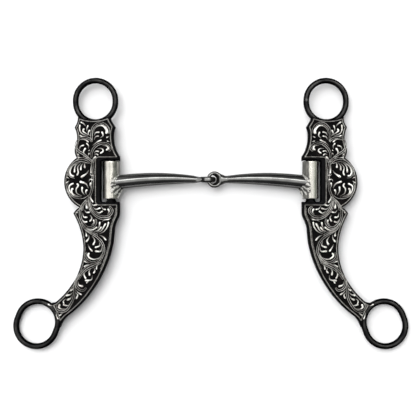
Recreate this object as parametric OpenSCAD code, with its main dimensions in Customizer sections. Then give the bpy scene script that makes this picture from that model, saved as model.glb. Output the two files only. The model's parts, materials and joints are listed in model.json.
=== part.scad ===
// Loose-cheek curb bit with a single-jointed mouthpiece, lying flat with both cheeks swung outwards.
// X runs across the mouth, Y up the cheeks towards the headstall rings, and Z out of the engraved faces.
// The origin is the middle of the foot of the bounding box. Lengths are in millimetres, angles in degrees.

/* [Mouthpiece] */
// Width of the mouth, between the two sleeves
mouth_w = 127; // [115:1:140]
// Outer diameter of the sleeve that turns on each cheek's post
sleeve_d = 11.3; // [10.8:0.1:12]
// Diameter of each mouthpiece arm beside its sleeve
cannon_d = 9.8; // [8.6:0.1:10.4]
// Diameter of each mouthpiece arm at the neck beside its eye
neck_d = 4.9; // [4.2:0.1:5.6]
// How far the middle of each arm rises towards the headstall rings
arch_rise = 0.2; // [-0.5:0.05:1]

/* [Cheeks] */
// Thickness of each steel cheek plate
plate_t = 6.2; // [6:0.1:6.4]
// Thickness of the engraved sheet on each cheek's outer face
overlay_t = 0.6; // [0.4:0.1:1]
// Black margin between the edge of the plate and the engraved sheet
overlay_inset = 1.1; // [0.8:0.1:1.5]
// Diameter of the hinge post that closes the notch in each cheek
post_d = 6; // [5:0.1:6]

/* [Rings] */
// Diameter of the wire in the headstall rings
headstall_wire_d = 4; // [3.4:0.1:4.4]
// Narrow inside diameter of the headstall rings
headstall_inner_d = 23.8; // [23:0.1:25]
// Diameter of the wire in the rein rings
rein_wire_d = 4.1; // [3.6:0.1:4.6]
// Narrow inside diameter of the rein rings
rein_inner_d = 24.3; // [23.5:0.1:25]

/* [Hidden] */
$fn = 72;

blackened = [0.13, 0.13, 0.14];
engraved = [0.62, 0.61, 0.58];
polished = [0.72, 0.72, 0.7];
sleeve_metal = [0.86, 0.84, 0.76];

// Everything of a cheek is drawn about the middle of its post: +X towards the mouth, +Y up, +Z outer face.
// Cheek outline, anticlockwise. Each knot is [x, y, turn]: the edge runs to the next knot along an arc
// that turns through that angle, to the left where it is positive, and straight where it is 0.
CHEEK = [
    // outer side of the upper panel, down to the round lobe
    [-22.9, 43.6, -40], [-25, 36.2, 50], [-24.9, 34.9, -52], [-25.1, 21.5, 42],
    // round lobe, and the point under it
    [-23.7, 14.7, 118], [-21.9, -19.7, 30], [-26, -23.7, 0],
    // hollow side of the shank, out to the rein ring
    [-25.7, -24.7, -27], [-19.05, -47.5, -25], [-24, -68, -22], [-38.3, -85.4, -14],
    // seat of the rein ring
    [-42.6, -86.5, -38],
    // full side of the shank, up to the lower arm of the notch
    [-35.6, -103.2, -30], [-31, -95.7, 20], [-12, -76, 23], [1.3, -45, 4],
    [2.4, -34, -18], [5.2, -26.7, 16], [5.9, -23.5, 0],
    // the notch that holds the post and its sleeve
    [5.9, -15.9, 0], [-5.8, -15.9, -90], [-7, -14.7, 0], [-7, 11.4, -90], [-5.8, 12.6, -24],
    // mouth side of the upper panel
    [5.9, 12.5, 20], [5.9, 15.9, -27], [3.1, 21, -26], [1.8, 32.5, -10], [2.9, 35.9, 0],
    // seat of the headstall ring
    [0.1, 40.4, -8], [-0.7, 43.5, -50]
];
arc_step = 6;

HEADSTALL_CENTRE = [-11, 54];
headstall_straight = 0.5;
REIN_CENTRE = [-52.2, -100.9];
rein_straight = 1.6;
rein_lean = 21;
headstall_bend = (headstall_inner_d + headstall_wire_d) / 2;
rein_bend = (rein_inner_d + rein_wire_d) / 2;

notch_top = 13;
notch_bottom = -15.9;
notch_back = -7;
notch_margin = 1.7;
notch_back_margin = 2.9;
corner_r = 2;
window_reach = 40;

post_sink = 0.3;
post_weld_r = 3.9;
post_weld_top = 0.5;
post_weld_bottom = 1.2;
post_weld_half_w = 3;
post_weld_bite = 0.05;

sleeve_top = 12.2;
sleeve_bottom = -13.7;
sleeve_chamfer = 0.4;
running_gap = 0.075;
sleeve_r = sleeve_d / 2;
post_x = (mouth_w + sleeve_d) / 2;
post_z = sleeve_r;

// The eyes lie across each other: the left one stands on edge and the right one lies flat.
eye_bar = 2.3;
eye_width = 3.7;
eye_bend = 4.15;
eye_straight = sleeve_r - eye_bend - eye_bar / 2;
eye_x = 2.6;
eye_y = -0.35;
eye_bite = 0.4;
neck_l = 3.4;
cannon_end = eye_x + eye_bend + eye_bite;
cannon_sides = 28;
cannon_steps = 26;
arch_place = 0.7;
arch_drop = 6.3;
taper_power = 2.2;

weld_sides = 44;
weld_place = 0.08;
weld_middle = 0.05;
weld_hollow = 0.4;
weld_root = 0.5;
weld_leg = 1.3;
weld_extra_on_bar = 1.3;
weld_extra_on_sleeve = 4.6;
weld_ripple = 0.12;
weld_ripples = 9;

// The cheek leans until the outer edge of its rein ring touches the surface that the sleeves lie on.
rein_reach = -REIN_CENTRE[0] + rein_straight * sin(rein_lean) + rein_bend;
cheek_tilt = asin((sleeve_r - rein_wire_d / 2) / rein_reach);
top_y = HEADSTALL_CENTRE[1] + headstall_straight + headstall_bend + headstall_wire_d / 2;
bottom_y = REIN_CENTRE[1] - rein_straight * cos(rein_lean) - rein_bend - rein_wire_d / 2;
post_y = -(top_y + bottom_y) / 2;

// Points along the arc from p to q that turns through an angle, leaving out q itself.
function arc(p, q, turn) =
    let (span = q - p, heading = atan2(span[1], span[0]), half = turn / 2, steps = ceil(abs(turn) / arc_step))
    turn == 0 ? [p] : [
        for (i = [0 : steps - 1])
        let (part = half * i / steps, reach = norm(span) * sin(part) / sin(half))
        p + reach * [cos(heading - half + part), sin(heading - half + part)]
    ];

function knot(k) = [k[0], k[1]];

function outline(knots) = [
    for (i = [0 : len(knots) - 1])
    each arc(knot(knots[i]), knot(knots[(i + 1) % len(knots)]), knots[i][2])
];

// The mouthpiece arm, by its place u: 0 on the post's axis and 1 at the neck, which then runs into the eye.
arm_span = post_x - eye_x - eye_bend - neck_l;
function arm_y(u) = arch_rise - arch_drop * pow(u - arch_place, 2);
function arm_r(u) = (neck_d + (cannon_d - neck_d) * (1 - pow(min(u, 1), taper_power))) / 2;
arm_first = 0.03;
arm_last = (post_x - cannon_end) / arm_span;

// Faces that join a row of closed loops of points into one tube, with or without its two ends.
function side_faces(loops, sides, closed) = [
    for (i = [0 : loops - (closed ? 1 : 2)])
    for (j = [0 : sides - 1])
    let (a = i * sides, b = ((i + 1) % loops) * sides, k = (j + 1) % sides)
    each [[a + j, a + k, b + k], [a + j, b + k, b + j]]
];
function end_faces(loops, sides) = [
    [for (j = [0 : sides - 1]) sides - 1 - j],
    [for (j = [0 : sides - 1]) (loops - 1) * sides + j]
];

// A wire ring that is a little longer than wide: two half turns joined by short straights along Y.
// Its child is the wire's cross-section.
module oval_ring(bend_r, straight) {
    for (side = [0, 180]) {
        rotate([0, 0, side]) {
            translate([0, straight, 0]) {
                rotate_extrude(angle = 180) {
                    translate([bend_r, 0]) children();
                }
            }
            translate([bend_r, straight, 0]) {
                rotate([90, 0, 0]) {
                    linear_extrude(height = 2 * straight) children();
                }
            }
        }
    }
}

// A cylinder along Y between two heights.
module rod(d, low, high) {
    translate([0, low, 0]) rotate([-90, 0, 0]) cylinder(d = d, h = high - low);
}

module headstall_wire_ring() {
    translate([HEADSTALL_CENTRE[0], HEADSTALL_CENTRE[1], 0]) {
        oval_ring(headstall_bend, headstall_straight) circle(d = headstall_wire_d);
    }
}

module rein_wire_ring() {
    translate([REIN_CENTRE[0], REIN_CENTRE[1], 0]) {
        rotate([0, 0, -rein_lean]) oval_ring(rein_bend, rein_straight) circle(d = rein_wire_d);
    }
}

module cheek_plate() {
    color(blackened) difference() {
        translate([0, 0, -plate_t / 2]) linear_extrude(height = plate_t) polygon(outline(CHEEK));
        headstall_wire_ring();
        rein_wire_ring();
    }
}

module engraved_overlay() {
    window_low = notch_bottom - notch_margin;
    window_high = notch_top + notch_margin;
    window_back = notch_back - notch_back_margin;
    color(engraved) translate([0, 0, plate_t / 2]) linear_extrude(height = overlay_t) difference() {
        offset(delta = -overlay_inset) polygon(outline(CHEEK));
        translate([window_back + corner_r, window_low + corner_r]) {
            offset(r = corner_r) square([window_reach, window_high - window_low - 2 * corner_r]);
        }
    }
}

module hinge_post() {
    color(blackened) rod(post_d, notch_bottom - post_sink, notch_top + post_sink);
}

// One fillet of weld round the foot of the post, growing from y = 0 upwards.
module post_fillet(height) {
    intersection() {
        rotate([-90, 0, 0]) rotate_extrude() {
            polygon([[post_d / 2, 0], [post_weld_r, 0], [post_d / 2, height]]);
        }
        cube([4 * post_weld_r, 4 * post_weld_r, 2 * post_weld_half_w], center = true);
    }
}

module post_welds() {
    color(blackened) {
        translate([0, notch_bottom, 0]) post_fillet(post_weld_bottom);
        translate([0, notch_top - post_weld_bite, 0]) mirror([0, 1, 0]) post_fillet(post_weld_top);
    }
}

module sleeve() {
    bore_r = post_d / 2 + running_gap;
    length = sleeve_top - sleeve_bottom;
    color(sleeve_metal) translate([0, sleeve_bottom, 0]) rotate([-90, 0, 0]) rotate_extrude() {
        polygon([
            [bore_r, 0], [sleeve_r - sleeve_chamfer, 0], [sleeve_r, sleeve_chamfer],
            [sleeve_r, length - sleeve_chamfer], [sleeve_r - sleeve_chamfer, length], [bore_r, length]
        ]);
    }
}

// Mouthpiece arm: a round tapered bar whose end is coped to fit round the sleeve.
module cannon() {
    points = [
        for (i = [0 : cannon_steps])
        let (u = arm_first + (arm_last - arm_first) * i / cannon_steps, r = arm_r(u))
        for (j = [0 : cannon_sides - 1])
        let (a = 360 * j / cannon_sides)
        [u * arm_span, arm_y(u) + r * cos(a), r * sin(a)]
    ];
    faces = concat(
        side_faces(cannon_steps + 1, cannon_sides, false),
        end_faces(cannon_steps + 1, cannon_sides)
    );
    color(polished) difference() {
        polyhedron(points, faces);
        rod(sleeve_d, -cannon_d, cannon_d);
    }
}

// Lumpy fillet of weld round the joint of the arm and its sleeve. Its legs are longest on the shank side.
module sleeve_weld() {
    bar_r = arm_r(weld_place);
    bar_y = arm_y(weld_middle);
    inside = sleeve_r - weld_root / 2;
    points = [
        for (i = [0 : weld_sides - 1])
        let (
            t = 360 * i / weld_sides,
            lump = 1 + weld_ripple * sin(weld_ripples * t),
            fullness = pow((1 - cos(t)) / 2, 2),
            bar_leg = (weld_leg + weld_extra_on_bar * fullness) * lump,
            sleeve_leg = (weld_leg + weld_extra_on_sleeve * fullness) * lump,
            y = bar_r * cos(t),
            z = bar_r * sin(t),
            seam = asin(z / sleeve_r),
            wrap = seam + sleeve_leg * sin(t) / sleeve_r * 180 / PI,
            corner_x = sleeve_r * cos(seam),
            under = 1 - weld_root / 2 / bar_r,
            root_under = 1 - weld_root / bar_r,
            on_sleeve = [inside * cos(wrap), bar_y + y + sleeve_leg * cos(t), inside * sin(wrap)],
            on_bar = [corner_x + bar_leg, bar_y + y * under, z * under],
            corner = [corner_x, bar_y + y, z],
            hollow = weld_hollow + weld_ripple * cos(weld_ripples * t),
            root = [corner_x - weld_root, bar_y + y * root_under, z * root_under]
        )
        each [root, on_bar, (on_sleeve + on_bar) / 2 * (1 - hollow) + corner * hollow, on_sleeve]
    ];
    color(sleeve_metal) polyhedron(points, side_faces(weld_sides, 4, true));
}

// Cross-section of an eye: a bar with fully rounded edges, wider along the eye's axis.
module eye_section() {
    for (side = [-1, 1]) {
        translate([0, side * (eye_width - eye_bar) / 2]) circle(d = eye_bar);
    }
    square([eye_bar, eye_width - eye_bar], center = true);
}

module eye() {
    color(polished) oval_ring(eye_bend, eye_straight) eye_section();
}

// Frames: a cheek's own leans with the cheek, and a sleeve's own is level.
module left_cheek_frame() {
    translate([-post_x, post_y, post_z]) rotate([0, -cheek_tilt, 0]) children();
}
module left_mouth_frame() {
    translate([-post_x, post_y, post_z]) children();
}
module right_cheek_frame() {
    mirror([1, 0, 0]) left_cheek_frame() children();
}
module right_mouth_frame() {
    mirror([1, 0, 0]) left_mouth_frame() children();
}

module left_cheek_plate() { left_cheek_frame() cheek_plate(); }
module left_engraved_overlay() { left_cheek_frame() engraved_overlay(); }
module left_headstall_ring() { color(blackened) left_cheek_frame() headstall_wire_ring(); }
module left_rein_ring() { color(blackened) left_cheek_frame() rein_wire_ring(); }
module left_hinge_post() { left_cheek_frame() hinge_post(); }
module left_post_welds() { left_cheek_frame() post_welds(); }
module left_sleeve() { left_mouth_frame() sleeve(); }
module left_cannon() { left_mouth_frame() cannon(); }
module left_sleeve_weld() { left_mouth_frame() sleeve_weld(); }
module left_eye() { translate([-eye_x, post_y + eye_y, post_z]) rotate([90, 0, 0]) eye(); }

module right_cheek_plate() { right_cheek_frame() cheek_plate(); }
module right_engraved_overlay() { right_cheek_frame() engraved_overlay(); }
module right_headstall_ring() { color(blackened) right_cheek_frame() headstall_wire_ring(); }
module right_rein_ring() { color(blackened) right_cheek_frame() rein_wire_ring(); }
module right_hinge_post() { right_cheek_frame() hinge_post(); }
module right_post_welds() { right_cheek_frame() post_welds(); }
module right_sleeve() { right_mouth_frame() sleeve(); }
module right_cannon() { right_mouth_frame() cannon(); }
module right_sleeve_weld() { right_mouth_frame() sleeve_weld(); }
module right_eye() { translate([eye_x, post_y + eye_y, post_z]) eye(); }

left_cheek_plate();
left_engraved_overlay();
left_headstall_ring();
left_rein_ring();
left_hinge_post();
left_post_welds();
left_sleeve();
left_cannon();
left_sleeve_weld();
left_eye();
right_cheek_plate();
right_engraved_overlay();
right_headstall_ring();
right_rein_ring();
right_hinge_post();
right_post_welds();
right_sleeve();
right_cannon();
right_sleeve_weld();
right_eye();
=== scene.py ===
import bmesh
import bpy
import json
import math
import random
import numpy as np
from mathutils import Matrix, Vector
from mathutils.geometry import delaunay_2d_cdt
from mathutils.noise import noise


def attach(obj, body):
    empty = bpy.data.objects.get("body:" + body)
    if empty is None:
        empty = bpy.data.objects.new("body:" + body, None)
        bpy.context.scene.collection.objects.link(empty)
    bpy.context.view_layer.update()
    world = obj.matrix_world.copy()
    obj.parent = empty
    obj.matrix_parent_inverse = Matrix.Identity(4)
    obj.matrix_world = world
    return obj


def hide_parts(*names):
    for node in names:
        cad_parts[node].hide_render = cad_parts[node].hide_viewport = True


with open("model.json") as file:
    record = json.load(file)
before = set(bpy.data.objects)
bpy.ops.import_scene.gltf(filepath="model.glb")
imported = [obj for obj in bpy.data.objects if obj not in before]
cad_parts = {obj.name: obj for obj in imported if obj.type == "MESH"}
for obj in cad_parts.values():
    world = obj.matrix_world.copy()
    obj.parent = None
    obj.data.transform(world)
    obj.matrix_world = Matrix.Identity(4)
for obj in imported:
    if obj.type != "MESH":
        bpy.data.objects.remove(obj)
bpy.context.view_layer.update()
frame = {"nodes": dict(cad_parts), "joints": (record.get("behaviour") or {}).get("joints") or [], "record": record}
nodes = frame["nodes"]
record = frame["record"]

MM = 0.001
SIDES = ("left", "right")

# ---------------------------------------------------------------- frames of the four bodies
JOINT_AT = {j["name"]: Vector(j["pos_m"]) for j in frame["joints"]}
MOUNT_AXIS = {m["name"]: Vector(m["axis"]).normalized() for m in record["mounts"]}


def cheek_frame(side):
    """Origin and axes of a cheek: x towards the mouth, y up the cheek, z out of its engraved face."""
    up = Vector((0, 1, 0))
    out = MOUNT_AXIS[side + "_headstall_loop"]
    across = up.cross(out)
    if side == "right":
        across = -across
    return JOINT_AT[side + "_cheek_swing"], across, up, out


def mouth_frame(side):
    """Origin and axes of a mouthpiece arm: x towards the middle, y and z level with the row's."""
    across = Vector((1, 0, 0)) if side == "left" else Vector((-1, 0, 0))
    return JOINT_AT[side + "_cheek_swing"], across, Vector((0, 1, 0)), Vector((0, 0, 1))


def to_row(points, placing):
    """Points in mm in a body's own frame, as points in metres in the row frame."""
    origin, x, y, z = (np.array(v) for v in placing)
    p = np.asarray(points, float) * MM
    return origin + p[:, :1] * x + p[:, 1:2] * y + p[:, 2:3] * z


def rise(value, low, high):
    """Goes smoothly from 0 to 1 as a value goes from low to high."""
    t = np.clip((np.asarray(value, float) - low) / (high - low), 0, 1)
    return t * t * (3 - 2 * t)


def make_mesh(name, points, faces, placing, tones=None):
    """A piece from points in a body's own frame, with its faces turned outwards.
    Its tones are one number a point, or a function that gives them from the points and their normals."""
    mesh = bpy.data.meshes.new(name)
    mesh.from_pydata(to_row(points, placing).tolist(), [], faces)
    mesh.validate()
    form = bmesh.new()
    form.from_mesh(mesh)
    bmesh.ops.recalc_face_normals(form, faces=form.faces)
    form.to_mesh(mesh)
    form.free()
    mesh.shade_smooth()
    if callable(tones):
        across, up, out = placing[1:]
        facing = [v.normal for v in mesh.vertices]
        normals = np.array([(n.dot(across), n.dot(up), n.dot(out)) for n in facing])
        tones = tones(np.asarray(points, float), normals)
    if tones is not None:
        attribute = mesh.attributes.new("tone", "FLOAT", "POINT")
        attribute.data.foreach_set("value", np.asarray(tones, np.float32))
    mesh.update()
    obj = bpy.data.objects.new(name, mesh)
    bpy.context.scene.collection.objects.link(obj)
    return obj


# ---------------------------------------------------------------- materials
# The seam in the right headstall ring: its place and its half length, in metres.
SEAM_AT = (0.0662, 0.0789, 0.0078)
SEAM_REACH = 0.0012
# Refraction index of the eyes' dull coat, kept low so that their sides hardly shine.
EYE_IOR = 1.08


def new_material(name):
    material = bpy.data.materials.new(name)
    material.use_nodes = True
    tree = material.node_tree
    shader = tree.nodes["Principled BSDF"]
    return material, tree, shader


def add(tree, kind, **settings):
    node = tree.nodes.new(kind)
    for key, value in settings.items():
        if key in node.inputs:
            node.inputs[key].default_value = value
        else:
            setattr(node, key, value)
    return node


def noise_at(tree, scale, detail=3.0, stretch=(1, 1, 1)):
    """A noise pattern fixed to the object, with its scale in features per metre."""
    place = add(tree, "ShaderNodeTexCoord")
    mapping = add(tree, "ShaderNodeMapping")
    mapping.inputs["Scale"].default_value = stretch
    pattern = add(tree, "ShaderNodeTexNoise")
    pattern.inputs["Scale"].default_value = scale
    pattern.inputs["Detail"].default_value = detail
    tree.links.new(place.outputs["Object"], mapping.inputs["Vector"])
    tree.links.new(mapping.outputs["Vector"], pattern.inputs["Vector"])
    return pattern.outputs["Fac"]


def ramp(tree, value, stops):
    """Colours against a value. Each stop is (place, colour), and a grey may be one number."""
    node = add(tree, "ShaderNodeValToRGB")
    elements = node.color_ramp.elements
    while len(elements) < len(stops):
        elements.new(0.5)
    for element, (place, colour) in zip(elements, stops):
        element.position = place
        if isinstance(colour, (int, float)):
            colour = (colour,) * 3
        element.color = tuple(colour) + (1,)
    tree.links.new(value, node.inputs["Fac"])
    return node.outputs["Color"]


def mix(tree, amount, a, b, blend="MIX"):
    node = add(tree, "ShaderNodeMix", data_type="RGBA", blend_type=blend)
    for socket, value in ((node.inputs[0], amount), (node.inputs[6], a), (node.inputs[7], b)):
        if isinstance(value, bpy.types.NodeSocket):
            tree.links.new(value, socket)
        elif isinstance(value, (int, float)):
            socket.default_value = value
        else:
            socket.default_value = tuple(value) + (1,)
    return node.outputs[2]


def bump(tree, shader, height, strength, distance):
    node = add(tree, "ShaderNodeBump")
    node.inputs["Strength"].default_value = strength
    node.inputs["Distance"].default_value = distance
    tree.links.new(height, node.inputs["Height"])
    tree.links.new(node.outputs["Normal"], shader.inputs["Normal"])


def blackened_steel(name, low, high, rough_low, rough_high):
    """Black oxide over steel: faint mottling and fine scratches, with a soft gloss."""
    material, tree, shader = new_material(name)
    shader.inputs["Metallic"].default_value = 1.0
    shader.inputs["Specular Tint"].default_value = (0.25, 0.25, 0.26, 1)
    mottle = noise_at(tree, 260, 5)
    tree.links.new(ramp(tree, mottle, [(0.3, low), (0.7, high)]), shader.inputs["Base Color"])
    grain = noise_at(tree, 1500, 3)
    tree.links.new(ramp(tree, grain, [(0.3, rough_low), (0.7, rough_high)]), shader.inputs["Roughness"])
    bump(tree, shader, noise_at(tree, 2600, 4), 0.2, 0.0001)
    return material


def ring_steel_painted_crown(name, seam=None):
    """Black oxide on round wire, with a painted highlight of dull grey along its up-facing crown.
    A seam is a place in metres where the wire was closed, and shows as a small bright tick."""
    material = blackened_steel(name, (0.003, 0.003, 0.0035), (0.007, 0.007, 0.008), 0.2, 0.3)
    tree = material.node_tree
    shader = tree.nodes["Principled BSDF"]
    dark = shader.inputs["Base Color"].links[0].from_socket
    place = add(tree, "ShaderNodeTexCoord")
    facing = add(tree, "ShaderNodeSeparateXYZ")
    tree.links.new(place.outputs["Normal"], facing.inputs[0])
    # Painted highlight: the wire's crown, where it faces up, is painted a dull grey.
    painted_crown = ramp(tree, facing.outputs["Z"], [(0.88, 0.0), (0.99, 1.0)])
    crown_highlight_colour = ramp(tree, noise_at(tree, 150, 3),
                  [(0.35, (0.012, 0.012, 0.013)), (0.65, (0.052, 0.051, 0.05))])
    colour = mix(tree, painted_crown, dark, crown_highlight_colour)
    if seam:
        gap = add(tree, "ShaderNodeVectorMath", operation="DISTANCE")
        tree.links.new(place.outputs["Object"], gap.inputs[0])
        gap.inputs[1].default_value = seam
        spread = add(tree, "ShaderNodeMath", operation="MULTIPLY")
        tree.links.new(gap.outputs["Value"], spread.inputs[0])
        spread.inputs[1].default_value = 1 / SEAM_REACH
        near = ramp(tree, spread.outputs[0], [(0.3, 1.0), (1.0, 0.0)])
        colour = mix(tree, near, colour, (0.12, 0.12, 0.12))
    tree.links.new(colour, shader.inputs["Base Color"])
    return material


def polished_steel(name, dull, bright, rough_low, rough_high, stretch, tint,
                   painted_shade_colour=(0.04, 0.04, 0.038)):
    """Hand-polished steel: soft cloudy tone and fine polishing lines, with painted shade where its tone is low:
    there it turns to a flat dark colour without metal gloss.
    """
    material, tree, shader = new_material(name)
    shader.inputs["Specular Tint"].default_value = (0.35, 0.35, 0.35, 1)
    shader.inputs["Specular IOR Level"].default_value = 0.08
    cloud = noise_at(tree, 130, 4)
    lines = noise_at(tree, 900, 2, stretch)
    low = tuple(dull * t for t in tint)
    high = tuple(bright * t for t in tint)
    base = ramp(tree, cloud, [(0.3, low), (0.65, high)])
    lined = mix(tree, 0.35, base, ramp(tree, lines, [(0.35, 0.55), (0.6, 1.0)]), "MULTIPLY")
    tone = add(tree, "ShaderNodeAttribute", attribute_name="tone").outputs["Fac"]
    # Painted shade: where the tone is low the steel is painted a flat dark colour and loses its metal gloss.
    tree.links.new(mix(tree, tone, painted_shade_colour, lined), shader.inputs["Base Color"])
    tree.links.new(ramp(tree, tone, [(0.0, 0.0), (0.22, 1.0)]), shader.inputs["Metallic"])
    tree.links.new(ramp(tree, lines, [(0.3, rough_low), (0.7, rough_high)]), shader.inputs["Roughness"])
    bump(tree, shader, lines, 0.12, 0.0001)
    return material


def engraved_ground():
    """The sunk ground between the scrolls: black with a trace of brown, finely stippled."""
    material, tree, shader = new_material("antiqued_ground")
    shader.inputs["Metallic"].default_value = 0.0
    patches = noise_at(tree, 230, 4)
    colour = ramp(tree, patches, [(0.35, (0.001, 0.001, 0.0012)), (0.62, (0.004, 0.0035, 0.0035)),
                                  (0.78, (0.020, 0.014, 0.014))])
    tree.links.new(colour, shader.inputs["Base Color"])
    shader.inputs["Roughness"].default_value = 0.62
    shader.inputs["Specular IOR Level"].default_value = 0.04
    place = add(tree, "ShaderNodeTexCoord")
    cells = add(tree, "ShaderNodeTexVoronoi")
    cells.inputs["Scale"].default_value = 2400
    tree.links.new(place.outputs["Object"], cells.inputs["Vector"])
    bump(tree, shader, cells.outputs["Distance"], 0.6, 0.00025)
    return material


def scroll_silver():
    """Raised scrolls: bright where they are cut and polished, grey along the stems."""
    material, tree, shader = new_material("engraved_silver_scrolls")
    tone = add(tree, "ShaderNodeAttribute", attribute_name="tone").outputs["Fac"]
    clean = ramp(tree, tone, [(0.0, (0.05, 0.048, 0.047)), (0.45, (0.225, 0.219, 0.208)),
                              (1.0, (1.0, 0.99, 0.955))])
    soil = ramp(tree, noise_at(tree, 420, 4), [(0.36, (0.42, 0.38, 0.37)), (0.52, (1.0, 1.0, 1.0))])
    tree.links.new(mix(tree, 0.7, clean, soil, "MULTIPLY"), shader.inputs["Base Color"])
    shader.inputs["Metallic"].default_value = 1.0
    rough = ramp(tree, noise_at(tree, 1800, 2), [(0.3, 0.24), (0.7, 0.42)])
    tree.links.new(rough, shader.inputs["Roughness"])
    bump(tree, shader, noise_at(tree, 3200, 3), 0.3, 0.0001)
    return material


# ---------------------------------------------------------------- the cheek's outline, in mm
# Knots (x, y, turn), as in the CAD: each edge runs to the next knot along an arc that turns
# through that angle in degrees.
CHEEK = [
    (-22.9, 43.6, -40), (-25, 36.2, 50), (-24.9, 34.9, -52), (-25.1, 21.5, 42),
    (-23.7, 14.7, 118), (-21.9, -19.7, 30), (-26, -23.7, 0),
    (-25.7, -24.7, -27), (-19.05, -47.5, -25), (-24, -68, -22), (-38.3, -85.4, -14),
    (-42.6, -86.5, -38),
    (-35.6, -103.2, -30), (-31, -95.7, 20), (-12, -76, 23), (1.3, -45, 4),
    (2.4, -34, -18), (5.2, -26.7, 16), (5.9, -23.5, 0),
    (5.9, -15.9, 0), (-5.8, -15.9, -90), (-7, -14.7, 0), (-7, 11.4, -90), (-5.8, 12.6, -24),
    (5.9, 12.5, 20), (5.9, 15.9, -27), (3.1, 21, -26), (1.8, 32.5, -10), (2.9, 35.9, 0),
    (0.1, 40.4, -8), (-0.7, 43.5, -50),
]
PLATE_T = 6.2
OVERLAY_T = 0.6
FACE_Z = PLATE_T / 2 + OVERLAY_T


def arc(p, q, turn, step):
    """Points from p along the arc to q, leaving out q, no further apart than step."""
    p, q = np.array(p, float), np.array(q, float)
    span = q - p
    count = max(1, math.ceil(np.linalg.norm(span) / step))
    if turn == 0:
        return [p + span * i / count for i in range(count)]
    heading = math.atan2(span[1], span[0])
    half = math.radians(turn) / 2
    points = []
    for i in range(count):
        part = half * i / count
        reach = np.linalg.norm(span) * math.sin(part) / math.sin(half)
        angle = heading - half + part
        points.append(p + reach * np.array([math.cos(angle), math.sin(angle)]))
    return points


def closed_outline(knots, step):
    """Points round the outline that the knots give, no further apart than step."""
    points = []
    for i, (x, y, turn) in enumerate(knots):
        after = knots[(i + 1) % len(knots)]
        points += arc((x, y), after[:2], turn, step)
    return np.array(points)


def distance_to(loop, points):
    """Distance from each point to a closed loop of straight edges."""
    a = loop
    d = np.roll(loop, -1, axis=0) - a
    length2 = (d * d).sum(1)
    best = np.full(len(points), 1e9)
    for start, way, l2 in zip(a, d, length2):
        t = np.clip(((points - start) @ way) / l2, 0, 1)
        gap = np.hypot(*(points - start - t[:, None] * way).T)
        best = np.minimum(best, gap)
    return best


def inset(loop, depth, slack=0.03):
    """The loop moved inwards by a depth, where an anticlockwise loop has its inside on the left."""
    before = loop - np.roll(loop, 1, axis=0)
    after = np.roll(loop, -1, axis=0) - loop
    before /= np.linalg.norm(before, axis=1)[:, None]
    after /= np.linalg.norm(after, axis=1)[:, None]
    along = before + after
    along /= np.linalg.norm(along, axis=1)[:, None]
    inward = np.stack([-along[:, 1], along[:, 0]], 1)
    lean = np.maximum((along * after).sum(1), 0.35)
    moved = loop + inward * (depth / lean)[:, None]
    return moved[distance_to(loop, moved) > depth - slack]


def resample(loop, step):
    """A closed loop with its points an even step apart."""
    ends = np.vstack([loop, loop[:1]])
    lengths = np.concatenate([[0], np.cumsum(np.hypot(*np.diff(ends, axis=0).T))])
    count = max(8, int(lengths[-1] / step))
    at = np.linspace(0, lengths[-1], count, endpoint=False)
    return np.stack([np.interp(at, lengths, ends[:, i]) for i in (0, 1)], 1)


# ---------------------------------------------------------------- cheek plates with softened edges
EDGE_ROUND = 0.95
EDGE_STEP = 0.45
EDGE_LOOPS = (0.07, 0.22, 0.45, 0.7, 0.95, 1.1)


def cheek_plate(side):
    """A slab with the cheek's outline, rounded over at both rims, with straight sides between."""
    rim = closed_outline(CHEEK, EDGE_STEP)
    loops = [rim] + [inset(rim, depth) for depth in EDGE_LOOPS]
    flat = [Vector(p) for loop in loops for p in loop]
    edges = []
    first = len(rim)
    for loop in loops[1:]:
        edges += [(first + i, first + (i + 1) % len(loop)) for i in range(len(loop) - 1)]
        first += len(loop)
    points, _, faces, *_ = delaunay_2d_cdt(flat, edges, [list(range(len(rim)))], 1, 1e-5)
    xy = np.array([tuple(p) for p in points])
    depth = np.minimum(distance_to(rim, xy), EDGE_ROUND)
    drop = EDGE_ROUND - np.sqrt(np.maximum(0, EDGE_ROUND**2 - (EDGE_ROUND - depth) ** 2))
    z = PLATE_T / 2 - drop
    count = len(xy)
    top = np.column_stack([xy, z])
    bottom = np.column_stack([xy, -z])
    solid = [tuple(f) for f in faces] + [tuple(count + i for i in reversed(f)) for f in faces]
    used = {}
    for f in faces:
        for i in range(len(f)):
            used[(f[i], f[(i + 1) % len(f)])] = True
    for a, b in used:
        if (b, a) not in used:
            solid.append((b, a, count + a, count + b))
    return make_mesh(side + "_plate", np.vstack([top, bottom]), solid, cheek_frame(side))


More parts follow.
